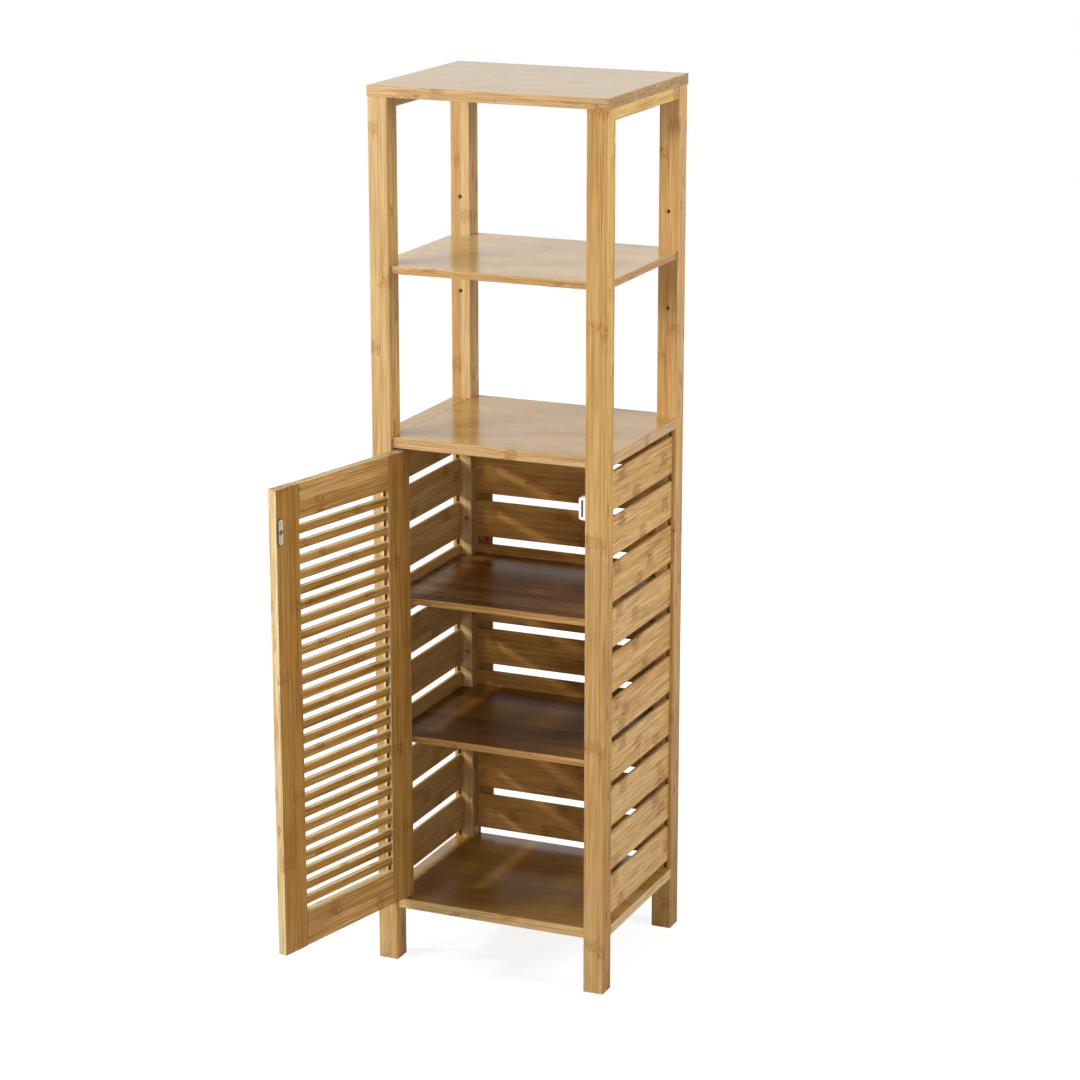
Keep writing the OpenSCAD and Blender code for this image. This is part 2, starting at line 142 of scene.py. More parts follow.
# The swirl of the fibres round a knuckle, in millimetres: where it starts to fade and where it ends, how
# long and wide its eddies are, and how far it pushes the fibres
SWIRL_FADE = (8.0, 42.0)
SWIRL_EDDY = (26.0, 9.0)
SWIRL_PUSH = 9.0

# A knuckle's band fades out between these shares of its half length, and fibres and streaks make its
# outline ragged by so many millimetres
BAND_FADE = (0.67, 1.33)
RAGGED_BY_FIBRE = 7.0
RAGGED_BY_STREAK = 5.0

# How twisted the mottling in a knuckle is, the noise at which its dark parts start and are whole, and the
# noise at which its pale parts are whole and end
MOTTLE_TWIST = 1.8
MOTTLE_DARK = (0.50, 0.60)
MOTTLE_PALE = (0.34, 0.44)

# End grain, in millimetres along, across and through the strips: the size of its vessel dots and of its
# patches, then the noise at which each starts and is whole, and how much paler patches and strips can be
END_DOTS = (40.0, 1.3, 1.1)
END_PATCHES = (40.0, 14.0, 2.6)
END_DOTS_NOISE = (0.50, 0.64)
END_PATCHES_NOISE = (0.36, 0.58)
END_PATCH_PALENESS = 0.75
END_STRIP_PALENESS = 0.25

# How far from its middle a pinhole is wholly dark, and where it ends, in millimetres
PINHOLE_RIM = (0.7, 1.3)

# The lacquer on a satin piece and on a polished one
RELIEF_STRENGTH = (0.35, 0.04)
ROUGHNESS = (0.42, 0.14)
SPECULAR = (0.12, 0.42)
# What adds to its roughness: fibres, flecks and end grain, and the edges of a polished board
FIBRE_ROUGHNESS = 0.06
FLECK_ROUGHNESS = 0.10
EDGE_ROUGHNESS = 0.24

# Marks of polishing on metal: how fine they are and how long, and how much they add to its roughness
POLISH_FINE = 0.25 * MM
POLISH_LONG = 6.0 * MM
POLISH_ROUGHNESS = 0.16

# Clouds on steel: their noise's scale, how strongly they show, and the share of its brightness that they
# leave
STEEL_CLOUD_SCALE = 160.0
STEEL_CLOUD_STRENGTH = 0.35
STEEL_CLOUD_SHARE = 0.72

# Moulded plastic: the noise's scale for its grain and for its flow marks, then how strongly the flow marks
# show, the share of its brightness that they leave, and what they add to its roughness
PLASTIC_GRAIN_SCALE = 2600.0
PLASTIC_FLOW_SCALE = 70.0
PLASTIC_FLOW_STRENGTH = 0.25
PLASTIC_FLOW_SHARE = 0.94
PLASTIC_FLOW_ROUGHNESS = 0.10

# The strike plate's nickel, lit and in painted shade, and the colour of the painted shade in its rim and
# pressed marks, in sRGB. Then how much painted shade darkens its one side, how dark the painted shade is in
# its marks, its dimples and the ring round its screw, and its roughness
NICKEL = (214, 206, 182)
SHADED_NICKEL = (166, 156, 128)
PAINTED_SHADE_COLOUR = (58, 48, 34)
PLATE_SIDE_SHADE = 0.6
PAINTED_SHADE_STRENGTH = 0.9
DIMPLE_SHADE = 0.5
RING_SHADE = 0.8
PLATE_ROUGHNESS = 0.34
# How high the marks of polishing stand on the plate, where the rim and the dimples are 1 deep
PLATE_POLISH_RELIEF = 0.1

# Where the plate's marks start and end, in millimetres, which its painted shade follows: the rim from the
# outline inward, and the dimples and the ring from their middles. The dimples lie at this share of the way
# from the screw to the plate's ends
PLATE_RIM = (1.9, 0.9)
PLATE_DIMPLE = (1.0, 2.0)
PLATE_RING = (3.4, 5.2)
DIMPLE_PLACE = 0.6


def linear(colour):
    """An sRGB colour, 0 to 255, as the linear colour that a shader takes."""
    values = []
    for level in colour:
        c = level / 255
        values.append(c / 12.92 if c <= 0.04045 else ((c + 0.055) / 1.055) ** 2.4)
    return (*values, 1.0)


def grey(level):
    """A grey with this albedo."""
    return (level, level, level, 1.0)


def between(ends, share):
    """The number that lies this share of the way from the first end to the second."""
    return ends[0] + (ends[1] - ends[0]) * share


class Graph:
    """The nodes of one material or world. A value is a socket of an earlier node or a plain number."""

    def __init__(self, owner):
        owner.use_nodes = True
        self.owner = owner
        self.tree = owner.node_tree
        self.tree.nodes.clear()

    def node(self, kind, inputs=(), **settings):
        """A new node with its settings, and with its inputs linked to sockets or set to numbers."""
        made = self.tree.nodes.new(kind)
        for key, value in settings.items():
            setattr(made, key, value)
        for key, value in dict(inputs).items():
            if isinstance(value, bpy.types.NodeSocket):
                self.tree.links.new(value, made.inputs[key])
            else:
                made.inputs[key].default_value = value
        return made

    def math(self, operation, *values):
        return self.node("ShaderNodeMath", enumerate(values), operation=operation).outputs[0]

    def total(self, first, *others):
        """The sum of all the values."""
        for other in others:
            first = self.math("ADD", first, other)
        return first

    def product(self, first, *others):
        """The product of all the values."""
        for other in others:
            first = self.math("MULTIPLY", first, other)
        return first

    def swing(self, value, size):
        """How far a value from 0 to 1 lies from its middle, times a size."""
        return self.product(self.math("SUBTRACT", value, 0.5), size)

    def smooth(self, value, low, high, to_low=0.0, to_high=1.0):
        """A smooth step from to_low at low to to_high at high."""
        made = self.node(
            "ShaderNodeMapRange",
            {"Value": value, "From Min": low, "From Max": high, "To Min": to_low, "To Max": to_high},
            interpolation_type="SMOOTHSTEP",
        )
        return made.outputs[0]

    def fade(self, value, whole, gone):
        """A smooth step from 1 at whole down to 0 at gone, where gone is the larger."""
        return self.smooth(value, whole, gone, 1.0, 0.0)

    def fade_between(self, distance, ends):
        """A fade over a distance, with its ends in millimetres."""
        whole, gone = ends
        return self.fade(distance, whole * MM, gone * MM)

    def combine(self, x, y, z):
        return self.node("ShaderNodeCombineXYZ", {"X": x, "Y": y, "Z": z}).outputs[0]

    def split(self, vector):
        return self.node("ShaderNodeSeparateXYZ", {0: vector}).outputs

    def length(self, vector):
        return self.node("ShaderNodeVectorMath", {0: vector}, operation="LENGTH").outputs["Value"]

    def mix(self, share, below, above, blend="MIX"):
        """The colour above laid over the colour below."""
        made = self.node("ShaderNodeMix", {0: share, 6: below, 7: above}, data_type="RGBA", blend_type=blend)
        return made.outputs[2]

    def stain(self, below, stain, *shares):
        """The colour below, darkened by a stain where all the shares are 1."""
        colour, strength = stain
        return self.mix(self.product(strength, *shares), below, linear(colour), "MULTIPLY")

    def ramp(self, value, tones):
        """The sRGB tones, spread evenly from a value of 0 to a value of 1."""
        made = self.node("ShaderNodeValToRGB", {0: value})
        band = made.color_ramp
        while len(band.elements) < len(tones):
            band.elements.new(0.5)
        for place, (element, tone) in enumerate(zip(band.elements, tones)):
            element.position = place / (len(tones) - 1)
            element.color = linear(tone)
        return made.outputs[0]

    def noise(self, vector, scale=1.0, detail=2.0, roughness=0.5, distortion=0.0):
        made = self.node(
            "ShaderNodeTexNoise",
            {
                "Vector": vector,
                "Scale": scale,
                "Detail": detail,
                "Roughness": roughness,
                "Distortion": distortion,
            },
        )
        return made.outputs[0]

    def scatter(self, vector):
        """A random value and a random colour for each whole-number cell."""
        made = self.node("ShaderNodeTexWhiteNoise", {"Vector": vector}, noise_dimensions="3D")
        return made.outputs["Value"], made.outputs["Color"]

    def bump(self, height, strength, distance):
        inputs = {"Height": height, "Strength": strength, "Distance": distance}
        return self.node("ShaderNodeBump", inputs).outputs[0]

    def principled(self, inputs):
        """The finished material, from the inputs of its one shader."""
        return self.surface(self.node("ShaderNodeBsdfPrincipled", inputs).outputs[0])

    def surface(self, shader, kind="ShaderNodeOutputMaterial"):
        """Shows the shader on the owner's surface, and gives the owner back."""
        self.node(kind, {"Surface": shader})
        return self.owner


def new_material(name):
    """The empty graph of a new material."""
    return Graph(bpy.data.materials.new(name))


def shut_again(graph, vector, centre=(0.0, 0.0, 0.0)):
    """Turns a vector of the standing-open door back to the shut door's axes."""
    inputs = {"Vector": vector, "Center": centre, "Axis": (0.0, 0.0, 1.0), "Angle": DOOR_TURN}
    return graph.node("ShaderNodeVectorRotate", inputs, rotation_type="AXIS_ANGLE").outputs[0]


def shut_box(name):
    """A door node's box in the shut door's axes, where its strips are laid out."""
    corners = []
    cosine, sine = math.cos(DOOR_TURN), math.sin(DOOR_TURN)
    for vertex in frame["nodes"][name].data.vertices:
        x, y, z = vertex.co - DOOR_PIVOT
        corners.append(Vector((cosine * x - sine * y, sine * x + cosine * y, z)) + DOOR_PIVOT)
    low = [min(c[k] for c in corners) for k in range(3)]
    high = [max(c[k] for c in corners) for k in range(3)]
    return Vector(low), Vector(high)


@dataclass
class Cut:
    """How a piece of bamboo is sawn, glued and lacquered. Lengths are in millimetres."""

    # The axes along, across and through the strips
    axes: str
    # How many strips lie across the piece, and how many layers through it
    strips: tuple
    # The place of the first knuckle, their spacing, the step to the next strip's, and how far they wander
    knuckles: tuple
    # The shade, and how much paler than its middle tone the piece is, where 0.5 is the pale tone
    shade: tuple
    tone: float = 0.0
    # The shade of the faces that look across the strips, if it is another. On most pieces that have one it is
    # painted light and shade, paler or deeper as the lamps light those faces
    edge: tuple = None
    # Whether the piece is on the door and laid out in the shut door's axes
    turned: bool = False
    # The lacquer, from satin at 0 to polished at 1
    gloss: float = 0.0
    # How strongly fibres and knuckles show on the faces that look through the strips
    figure: float = 1.0
    # Painted light: how much paler the far end is than the near one, on those faces and on the ones that look
    # across, where the lamps light one end more
    light_rise: tuple = (0.0, 0.0)
    # How much paler each strip is than the one before, and how much they differ by chance
    lean: float = 0.0
    variety: float = 0.34
    # Half the width of a glue line, and how dark it is
    glue: float = 0.35
    seam: float = 0.55
    # Whether the knuckles of the front layer keep their place and only those behind it wander
    steady: bool = False
    # Half the length of a knuckle's band, and the length and width of the mottling in it
    knuckle: float = 10.5
    mottle: tuple = (4.6, 3.2)
    # Whether the ends show long grain too, as on a board with a banded edge
    banded: bool = False
    # The place of a pinhole on the front edge, along it and up, if there is one
    spot: tuple = None


class Bamboo:
    """The material of one piece of laminated bamboo."""

    def __init__(self, name, cut, box, seed):
        self.g = g = new_material("bamboo_" + name)
        self.cut = cut
        self.low, high = box
        self.size = high - self.low
        coordinates = g.node("ShaderNodeTexCoord").outputs
        position, normal = coordinates["Object"], coordinates["Normal"]
        if cut.turned:
            position = shut_again(g, position, DOOR_PIVOT)
            normal = shut_again(g, normal)
        self.point = dict(zip("xyz", g.split(position)))
        facing = dict(zip("xyz", g.split(normal)))
        ends, sides, flats = (g.math("ABSOLUTE", facing[axis]) for axis in cut.axes)
        self.on_end = g.smooth(ends, *SQUARE_END)
        self.on_side = g.smooth(sides, *SQUARE_FACE)
        self.on_flat = g.smooth(flats, *SQUARE_FACE)
        grain = dict(self.point)
        if cut.banded:
            self.band_ends(grain)
        self.along, self.across, self.through = (grain[axis] for axis in cut.axes)
        self.glue_strips(grain, seed)
        self.find_knuckles()
        self.draw_marks()

    def band_ends(self, grain):
        """Long grain on the ends too: there the axes along and across the strips change places."""
        g = self.g
        long_axis, cross_axis = self.cut.axes[:2]
        apart = g.math("SUBTRACT", grain[cross_axis], grain[long_axis])
        turn = g.product(g.math("GREATER_THAN", self.on_end, 0.5), apart)
        grain[long_axis] = g.total(grain[long_axis], turn)
        grain[cross_axis] = g.math("SUBTRACT", grain[cross_axis], turn)
        self.on_side = g.math("MAXIMUM", self.on_side, self.on_end)
        self.on_end = 0.0

    def glue_strips(self, grain, seed):
        """A whole number of strips across the piece and of layers through it, each with its own tone."""
        g, cut = self.g, self.cut
        self.cells = []
        seams = []
        for axis, count in zip(cut.axes[1:], cut.strips):
            k = "xyz".index(axis)
            pitch = (self.size[k] + 2 * STRIP_MARGIN) / count
            from_first = g.math("SUBTRACT", grain[axis], self.low[k] - STRIP_MARGIN)
            place = g.math("DIVIDE", from_first, pitch)
            self.cells.append(g.math("FLOOR", place))
            off_middle = g.math("ABSOLUTE", g.math("SUBTRACT", g.math("FRACT", place), 0.5))
            width = cut.glue * MM / pitch
            seams.append(g.smooth(off_middle, 0.5 - width, 0.5 - GLUE_CORE * width))
        # Seams between strips don't show on their sides, nor seams between layers on their flats
        between_strips = g.product(seams[0], g.math("SUBTRACT", 1.0, self.on_side))
        between_layers = g.product(seams[1], g.math("SUBTRACT", 1.0, self.on_flat))
        self.seam = g.math("MAXIMUM", between_strips, between_layers)
        self.strip_tone, lot = g.scatter(g.combine(self.cells[0], self.cells[1], float(seed)))
        self.lots = g.split(lot)
        # Each strip is cut from another place of the culm, so its fibres differ from its neighbour's
        self.shifted = g.total(self.along, g.product(self.lots[0], CULM))

    def find_knuckles(self):
        """The distance along the strip to its nearest knuckle, and the fibres that swirl round it."""
        g = self.g
        first, spacing, step, jitter = self.cut.knuckles
        wander = g.swing(self.lots[1], jitter * MM)
        if self.cut.steady:
            wander = g.product(wander, g.math("MINIMUM", self.cells[1], 1.0))
        shift = g.total(wander, g.product(self.cells[0], -step * MM))
        phase = g.math("SUBTRACT", g.total(self.along, shift), (first - spacing / 2) * MM)
        from_halfway = g.math("PINGPONG", phase, 0.5 * spacing * MM)
        self.reach = g.math("SUBTRACT", 0.5 * spacing * MM, from_halfway)
        halo = g.fade_between(self.reach, SWIRL_FADE)
        swirl = g.swing(g.noise(self.stretched(*SWIRL_EDDY), detail=1.0), SWIRL_PUSH * MM)
        self.across = g.total(self.across, g.product(swirl, halo))

    def draw_marks(self):
        """The marks that both the colour and the relief follow."""
        g, cut = self.g, self.cut
        self.figure = g.smooth(self.on_flat, 0.0, 1.0, 1.0, cut.figure)
        self.fibre = self.marks(**FIBRES)
        self.streak = self.marks(**STREAKS)
        self.fleck = self.marks(**FLECKS)
        self.mottle = g.noise(self.stretched(*cut.mottle), detail=1.0, distortion=MOTTLE_TWIST)
        by_fibre = g.swing(self.fibre, RAGGED_BY_FIBRE * MM)
        by_streak = g.swing(self.streak, RAGGED_BY_STREAK * MM)
        ragged = g.total(self.reach, by_fibre, by_streak)
        whole, gone = (share * cut.knuckle * MM for share in BAND_FADE)
        self.band = g.product(g.fade(ragged, whole, gone), self.figure)

    def scaled(self, along, sizes):
        """The point, scaled so that noise makes marks of these sizes along, across and through the strips."""
        g = self.g
        parts = zip((along, self.across, self.through), sizes)
        return g.combine(*(g.math("DIVIDE", part, size * MM) for part, size in parts))

    def stretched(self, length, width):
        """The point, scaled so that noise makes marks this long and wide."""
        return self.scaled(self.shifted, (length, width, width))

    def marks(self, length, width, low, high, **settings):
        """Soft marks drawn out along the grain, where the noise rises from low to high."""
        return self.g.smooth(self.g.noise(self.stretched(length, width), **settings), low, high)

    def level(self):
        """The tone of the bare strip, from deep at 0 to pale at 1."""
        g, cut = self.g, self.cut
        level = cut.tone + 0.5
        # Painted light: the piece grows paler towards the end that the lamps light more
        if any(cut.light_rise):
            k = "xyz".index(cut.axes[0])
            off_middle = g.math("SUBTRACT", self.along, self.low[k] + 0.5 * self.size[k])
            light_rise = g.smooth(self.on_side, 0.0, 1.0, *cut.light_rise)
            level = g.total(g.product(off_middle, g.math("DIVIDE", light_rise, self.size[k])), level)
        if cut.lean:
            off_middle = g.math("SUBTRACT", self.cells[0], 0.5 * (cut.strips[0] - 1))
            level = g.total(g.product(off_middle, cut.lean), level)
        drawn = g.total(g.swing(self.streak, STREAK_TONE), g.swing(self.fibre, FIBRE_TONE))
        by_chance = g.swing(self.strip_tone, cut.variety)
        cloud = g.swing(self.marks(**CLOUDS), CLOUD_TONE)
        return g.total(level, g.product(drawn, self.figure), by_chance, cloud)

    def colour(self):
        """The strips in their own tones, with everything that marks them."""
        g, cut = self.g, self.cut
        level = self.level()
        colour = g.ramp(level, cut.shade)
        # Painted light and shade: the faces that look across the strips take their own shade, paler or deeper
        # as the lamps light them
        if cut.edge:
            colour = g.mix(self.on_side, colour, g.ramp(level, cut.edge))
        # A warmer blush, darker bundles of fibre, and short dark flecks, the cut ends of the vessels
        colour = g.stain(colour, BLUSH, self.marks(**BLUSHES))
        colour = g.stain(colour, BUNDLE, self.marks(**BUNDLES), self.figure)
        colour = g.stain(colour, FLECK, self.fleck, self.figure)
        # At every knuckle the culm has a node, a mottled band across its strip
        colour = g.stain(colour, KNUCKLE, self.band)
        colour = g.stain(colour, SQUIGGLE, self.band, g.smooth(self.mottle, *MOTTLE_DARK))
        pale = g.product(PALE_FIBRE_SHARE, self.band, g.fade(self.mottle, *MOTTLE_PALE))
        colour = g.mix(pale, colour, linear(PALE_FIBRE))
        colour = g.stain(colour, (GLUE_COLOUR, cut.seam), self.seam)
        if cut.spot:
            colour = g.stain(colour, PINHOLE, self.pinhole(), self.on_side)
        return g.mix(self.on_end, colour, self.end_grain())

    def pinhole(self):
        """A small round hole, seen from the front."""
        g = self.g
        apart = [g.math("SUBTRACT", self.point[axis], place * MM) for axis, place in zip("xz", self.cut.spot)]
        return g.fade_between(g.length(g.combine(*apart, 0.0)), PINHOLE_RIM)

    def end_grain(self):
        """Where the surface faces along the grain: a darker, patchy ground full of vessel dots."""
        g, cut = self.g, self.cut
        dots = g.smooth(g.noise(self.scaled(self.along, END_DOTS), detail=1.5), *END_DOTS_NOISE)
        patches = g.noise(self.scaled(self.along, END_PATCHES))
        patches = g.smooth(patches, *END_PATCHES_NOISE, 0.0, END_PATCH_PALENESS)
        paleness = g.total(g.product(self.strip_tone, END_STRIP_PALENESS), patches)
        long_grain = (cut.edge or cut.shade)[1]
        ground = g.mix(paleness, linear(END_GRAIN), linear(long_grain))
        return g.mix(g.product(dots, END_DOT_SHARE), ground, linear(END_DOT))

    def material(self):
        """Lacquer that the fibres, glue lines and knuckles just show through."""
        g, gloss = self.g, self.cut.gloss
        relief = g.total(
            g.product(self.fibre, FIBRE_RELIEF),
            g.product(self.fleck, FLECK_RELIEF),
            g.product(self.seam, SEAM_RELIEF),
            g.product(self.band, self.mottle, KNUCKLE_RELIEF),
        )
        roughness = g.total(
            g.product(self.fibre, FIBRE_ROUGHNESS),
            between(ROUGHNESS, gloss),
            g.product(g.total(self.fleck, self.on_end), FLECK_ROUGHNESS),
        )
        if gloss:
            # The polish lies thinner on a board's edges
            roughness = g.total(roughness, g.smooth(self.on_flat, 0.0, 1.0, EDGE_ROUGHNESS * gloss, 0.0))
        return g.principled({
            "Base Color": self.colour(),
            "Roughness": roughness,
            "Normal": g.bump(relief, between(RELIEF_STRENGTH, gloss), RELIEF_HEIGHT),
            "Specular IOR Level": between(SPECULAR, gloss),
        })


def steel(name, colour, roughness):
    """Plated steel with fine upright marks of polishing, in faint clouds of a darker shade."""
    g = new_material(name)
    position = g.node("ShaderNodeTexCoord").outputs["Object"]
    sizes = (POLISH_FINE, POLISH_FINE, POLISH_LONG)
    parts = [g.math("DIVIDE", part, size) for part, size in zip(g.split(position), sizes)]
    marks = g.noise(g.combine(*parts), detail=3.0, roughness=0.6)
    cloud = g.product(g.noise(position, scale=STEEL_CLOUD_SCALE), STEEL_CLOUD_STRENGTH)
    darker = [STEEL_CLOUD_SHARE * level for level in colour]
    return g.principled({
        "Base Color": g.mix(cloud, linear(colour), linear(darker)),
        "Metallic": 1.0,
        "Roughness": g.total(g.product(marks, POLISH_ROUGHNESS), roughness),
        "Normal": g.bump(marks, strength=0.25, distance=0.02 * MM),
    })


def strike_finish():
    """Satin nickel on the strike plate, with painted shade: darker towards one side, a painted shadow along
    its sunk rim, and painted shade in shallow dimples above and below its screw and in a ring round the
    screw.
    """
    g = new_material("satin_nickel")
    position = shut_again(g, g.node("ShaderNodeTexCoord").outputs["Object"], DOOR_PIVOT)
    x, y, z = g.split(position)
    low, high = shut_box("strike_plate")
    middle, half = 0.5 * (low + high), 0.5 * (high - low)
    side = g.math("SUBTRACT", x, middle.x)
    above = g.math("ABSOLUTE", g.math("SUBTRACT", z, middle.z))
    # The plate's ends are round, so its outline keeps one distance from a short upright spine
    past_spine = g.math("MAXIMUM", g.math("SUBTRACT", above, half.z - half.x), 0.0)
    from_spine = g.length(g.combine(side, past_spine, 0.0))
    rim = g.smooth(from_spine, *(half.x - inward * MM for inward in PLATE_RIM))
    past_dimple = g.math("SUBTRACT", above, DIMPLE_PLACE * half.z)
    dimple = g.fade_between(g.length(g.combine(side, past_dimple, 0.0)), PLATE_DIMPLE)
    ring = g.fade_between(g.length(g.combine(side, above, 0.0)), PLATE_RING)
    polish = g.combine(g.math("DIVIDE", x, POLISH_FINE), y, g.math("DIVIDE", z, POLISH_LONG))
    marks = g.noise(polish, detail=3.0)
    # Painted shade: the nickel darkens towards one side, as light falls across the plate
    side_shade = g.smooth(side, -half.x, half.x, 0.0, PLATE_SIDE_SHADE)
    nickel = g.mix(side_shade, linear(NICKEL), linear(SHADED_NICKEL))
    # Painted shade in the hollows: a painted shadow along the rim, and darker dimples and a darker ring round
    # the screw
    hollow_shade = g.math("MAXIMUM", g.product(dimple, DIMPLE_SHADE), g.product(ring, RING_SHADE))
    shade = g.product(g.math("MAXIMUM", rim, hollow_shade), PAINTED_SHADE_STRENGTH)
    height = g.math("SUBTRACT", g.product(marks, PLATE_POLISH_RELIEF), g.total(rim, dimple))
    return g.principled({
        "Base Color": g.mix(shade, nickel, linear(PAINTED_SHADE_COLOUR)),
        "Metallic": 1.0,
        "Roughness": g.total(g.product(marks, POLISH_ROUGHNESS), PLATE_ROUGHNESS),
        "Normal": g.bump(height, strength=0.5, distance=0.3 * MM),
    })


def moulded(name, colour, roughness):
    """Moulded plastic: an even colour with a fine grain and faint flow marks."""
    g = new_material(name)
    position = g.node("ShaderNodeTexCoord").outputs["Object"]
    grain = g.noise(position, scale=PLASTIC_GRAIN_SCALE, detail=1.0)
    flow = g.noise(position, scale=PLASTIC_FLOW_SCALE, distortion=0.6)
    darker = [PLASTIC_FLOW_SHARE * level for level in colour]
    return g.principled({
        "Base Color": g.mix(g.product(flow, PLASTIC_FLOW_STRENGTH), linear(colour), linear(darker)),
        "Roughness": g.total(g.product(flow, PLASTIC_FLOW_ROUGHNESS), roughness),
        "Normal": g.bump(grain, strength=0.2, distance=0.03 * MM),
        "IOR": 1.49,
        "Subsurface Weight": 0.08,
        "Subsurface Radius": (2 * MM, 2 * MM, 2 * MM),
    })


# Each leg's own bamboo. Its shades and how much paler it grows along its length are partly painted light and
# shade: the left legs and the front left leg's inner side are paler where the lamps light them most, the
# front right leg's outer side darker, and each leg paler towards one end
LEGS = {
    "leg_front_left": {
        "strips": (2, 4),
        "knuckles": (331.0, 335.0, 104.0, 260.0),
        "shade": CREAM,
        "tone": -0.14,
        "edge": BUTTER,
        "light_rise": (0.2, 0.4),
    },
    "leg_front_right": {
        "strips": (1.32, 4),
        "knuckles": (79.0, 327.0, -8.0, 260.0),
        "shade": HONEY,
        "tone": -0.02,
        "edge": OLIVE,
        "light_rise": (-0.2, 0.9),
    },
    "leg_back_left": {
        "strips": (2, 4),
        "knuckles": (257.0, 330.0, -88.0, 260.0),
        "shade": CREAM,
        "tone": -0.22,
        "edge": CREAM,
        "light_rise": (0.2, 0.2),
        "lean": 0.3,
    },
    "leg_back_right": {
        "strips": (2, 4),
        "knuckles": (319.0, 320.0, 45.0, 260.0),
        "shade": HONEY,
        "tone": 0.02,
        "edge": HONEY,
        "light_rise": (0.1, 1.0),
        "lean": 0.15,
    },
}

# The knuckles of the deck, stepped evenly from strip to strip, and those of the dowels
DECK_KNUCKLES = (214.0, 300.0, 60.0, 0.0)
DOWEL_KNUCKLES = (0.0, 280.0, 0.0, 280.0)

# The place of the pinhole in the front edge of the top board, along it and up
TOP_PINHOLE = (194.0, 1388.6)

# The tone and gloss of each shelf inside the cupboard. Their deep tones, deepest on the lower shelf, are
# partly painted shade for the shade inside the cupboard
INNER_SHELVES = {"upper_shelf": (-0.22, 0.6), "lower_shelf": (-0.34, 0.48)}

# What chance settles for a piece: where its first knuckle is, how far apart they are and how far they wander
# from strip to strip, in millimetres, and how much deeper or paler than its shade it is
FIRST_KNUCKLE = (0, 280)
KNUCKLE_SPACING = (250, 310)
KNUCKLE_WANDER = 280.0
TONE_CHANCE = 0.12


def board(knuckles, shade, tone, edge, gloss=1.0, figure=0.35, banded=True, **more):
    """The cut of a board of twelve strips and two layers, with banded ends unless it is told otherwise."""
    more.update(gloss=gloss, figure=figure, banded=banded)
    return Cut("xyz", (12, 2), knuckles, shade, tone, edge, **more)


def node_cut(name):
    """The cut of the bamboo in one CAD node, from its name."""
    rng = random.Random(name)
    loose = (rng.uniform(*FIRST_KNUCKLE), rng.uniform(*KNUCKLE_SPACING), 0.0, KNUCKLE_WANDER)
    tone = rng.uniform(-TONE_CHANCE, TONE_CHANCE)
    if name in LEGS:
        return Cut("zxy", **LEGS[name], figure=0.65, steady=True, variety=0.18)
    if name.startswith(("left_slat", "right_slat")):
        tone = 0.6 * tone + 0.12
        figure = 0.85 if name.startswith("left") else 1.2
        return Cut("yzx", (3, 1), loose, GOLD, tone, figure=figure, knuckle=14.0, mottle=(3.4, 1.9))
    # Painted shade: the back slats and battens take deep shades for the shade inside the cupboard
    if name.startswith("back_slat"):
        return Cut("xzy", (3, 1), loose, CHESTNUT, tone + 0.1, figure=0.8)
    if name.startswith("back_batten"):
        return Cut("zxy", (1, 1), loose, AMBER, tone)
    if name.startswith("top_rail"):
        return Cut("yzx", (1, 3), loose, BUTTER, 0.5 * tone)
    # Painted light and shade on the door: its edges and the tops of its rails and slats take a pale shade
    # where the lamps light them, and the faces of its stiles and slats a deep one that partly stands for the
    # shade on the face turned from the lamps
    if name.startswith("door_stile"):
        return Cut("zxy", (2, 3), loose, AMBER, 0.5 * tone, LIT_IVORY, turned=True, figure=0.7, variety=0.2)
    if name.startswith("door_rail"):
        return Cut("xzy", (2, 3), loose, HONEY, tone - 0.15, LIT_IVORY, turned=True)
    if name == "door_slats":
        return Cut("xzy", (52, 1), loose, AMBER, edge=LIT_IVORY, turned=True)
    if name == "frame_dowels":
        return Cut("xzy", (40, 1), DOWEL_KNUCKLES, CREAM)
    if name == "deck_strip":
        return Cut("yxz", (1, 2), loose, PALE_BOARD, 0.5 * tone, gloss=1.0, figure=0.35, glue=1.8, seam=1.0)
    if name == "deck_board":
        return board(DECK_KNUCKLES, PALE_BOARD, 0.02, STRAW)
    # Painted light: the open shelf takes a paler shade than the top and the deck for the light and sheen
    # under the top board, and its edges a darker one
    if name == "open_shelf":
        return board(loose, LIGHT_BOARD, 0.05, TAN)
    # Painted shade and light: the boards inside the cupboard take a deep shade for the shade there, and their
    # front edges a paler one where the lamps reach them
    if name == "bottom_board":
        return board(loose, RUSSET, 0.32, GOLD, gloss=0.8, figure=0.4)
    if name in INNER_SHELVES:
        tone, gloss = INNER_SHELVES[name]
        return board(loose, RUSSET, tone, CARAMEL, gloss=gloss, figure=0.4, variety=0.5)
    return board(loose, PALE_BOARD, 0.0, STRAW, banded=False, spot=TOP_PINHOLE)


def hardware():
    """The material of each node that isn't bamboo."""
    umber = moulded("umber_plastic", (64, 52, 40), roughness=0.45)
    bright = steel("bright_steel", (206, 204, 200), roughness=0.24)
    return {
        "catch_housing": moulded("white_plastic", (228, 229, 226), roughness=0.30),
        "catch_magnet": moulded("dark_magnet", (52, 50, 48), roughness=0.42),
        "catch_screws": bright,
        "pivot_bush_top": umber,
        "pivot_bush_bottom": umber,
        "pivot_pins": bright,
        "shelf_pins": bright,
        "strike_plate": strike_finish(),
        "strike_screw": steel("grey_steel", (128, 122, 106), roughness=0.34),
    }


def dress_nodes():
    """Gives every CAD node a material of its own or one that it shares with its kind."""
    materials = hardware()
    for seed, (name, piece) in enumerate(sorted(frame["nodes"].items())):
        if name not in materials:
            cut = node_cut(name)
            box = shut_box(name) if cut.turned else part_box(name)
            materials[name] = Bamboo(name, cut, box, seed).material()
        for slot in piece.material_slots:
            slot.material = materials[name]


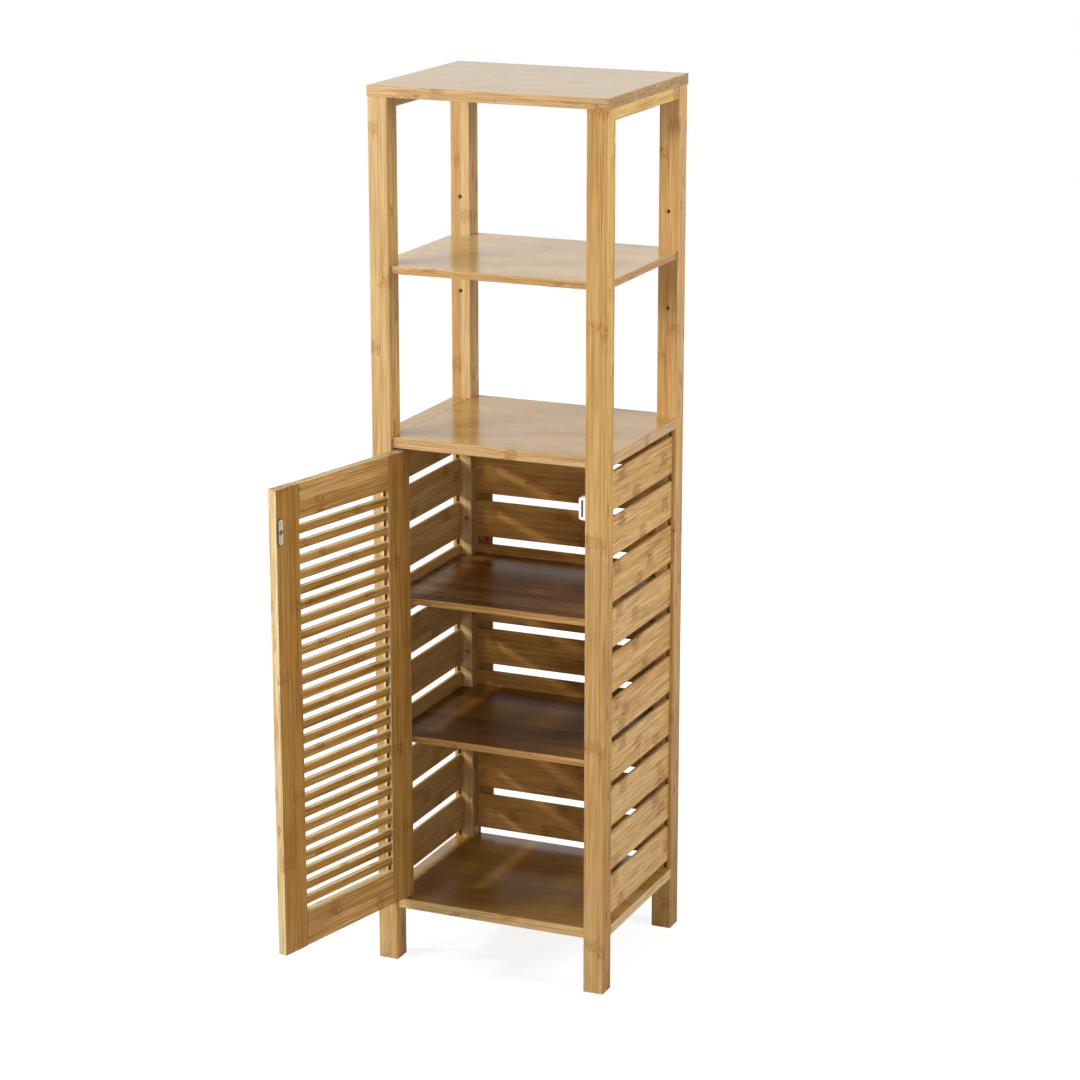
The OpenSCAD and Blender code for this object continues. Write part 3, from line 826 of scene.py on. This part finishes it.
def seen_directly(graph):
    """1 where the camera, a reflection or clear glass looks at the surface, and 0 where light does."""
    path = graph.node("ShaderNodeLightPath").outputs
    seen = graph.math("MAXIMUM", path["Is Camera Ray"], path["Is Glossy Ray"])
    return graph.math("MAXIMUM", seen, path["Is Transmission Ray"])


def surroundings():
    """A white world: even light from all round, and plain white behind."""
    world = bpy.data.worlds.new("white_surroundings")
    bpy.context.scene.world = world
    g = Graph(world)
    levels = {"Value": seen_directly(g), "To Min": SURROUND_LIGHT, "To Max": SURROUND_WHITE}
    strength = g.node("ShaderNodeMapRange", levels).outputs[0]
    background = g.node("ShaderNodeBackground", {"Color": WHITE, "Strength": strength})
    g.surface(background.outputs[0], "ShaderNodeOutputWorld")


def floor():
    """A plain white floor that keeps a soft shadow near the cabinet and fades to even white."""
    g = new_material("white_floor")
    plain = g.node("ShaderNodeBsdfDiffuse", {"Color": grey(FLOOR_ALBEDO)})
    shade = g.node("ShaderNodeBsdfDiffuse", {"Color": grey(FLOOR_SHADE)})
    distance = g.length(g.node("ShaderNodeTexCoord").outputs["Object"])
    level = g.smooth(distance, FADE_START, FADE_END, FLOOR_GLOW, SURROUND_WHITE)
    glow = g.node("ShaderNodeEmission", {"Color": WHITE, "Strength": level})
    seen = g.node("ShaderNodeAddShader", {0: shade.outputs[0], 1: glow.outputs[0]})
    sides = {0: seen_directly(g), 1: plain.outputs[0], 2: seen.outputs[0]}
    material = g.surface(g.node("ShaderNodeMixShader", sides).outputs[0])
    bpy.ops.mesh.primitive_plane_add(size=FLOOR_SIZE, location=FLOOR_MIDDLE)
    plane = bpy.context.object
    plane.name = "floor"
    plane.data.materials.append(material)


def softbox(name, place, size, power):
    """A soft rectangular lamp that the camera doesn't see."""
    lamp = bpy.data.lights.new(name, "AREA")
    lamp.shape = "RECTANGLE"
    lamp.size, lamp.size_y = size
    lamp.energy = power
    holder = bpy.data.objects.new(name, lamp)
    bpy.context.scene.collection.objects.link(holder)
    holder.location = place
    towards = Vector(LAMP_TARGET) - Vector(place)
    holder.rotation_euler = towards.to_track_quat("-Z", "Y").to_euler()
    holder.visible_camera = False


def camera():
    """The camera at the photograph's viewing angle."""
    lens = bpy.data.cameras.new("camera")
    lens.sensor_width = SENSOR
    lens.lens = CAMERA_LENS
    holder = bpy.data.objects.new("camera", lens)
    bpy.context.scene.collection.objects.link(holder)
    holder.location = CAMERA_PLACE
    holder.rotation_euler = (math.radians(90 - CAMERA_PITCH), 0.0, math.radians(CAMERA_AZIMUTH))
    bpy.context.scene.camera = holder


dress_nodes()
camera()
surroundings()
floor()
for name, (place, size, power) in LAMPS.items():
    softbox(name, place, size, power)

bpy.context.scene.view_settings.view_transform = "Standard"
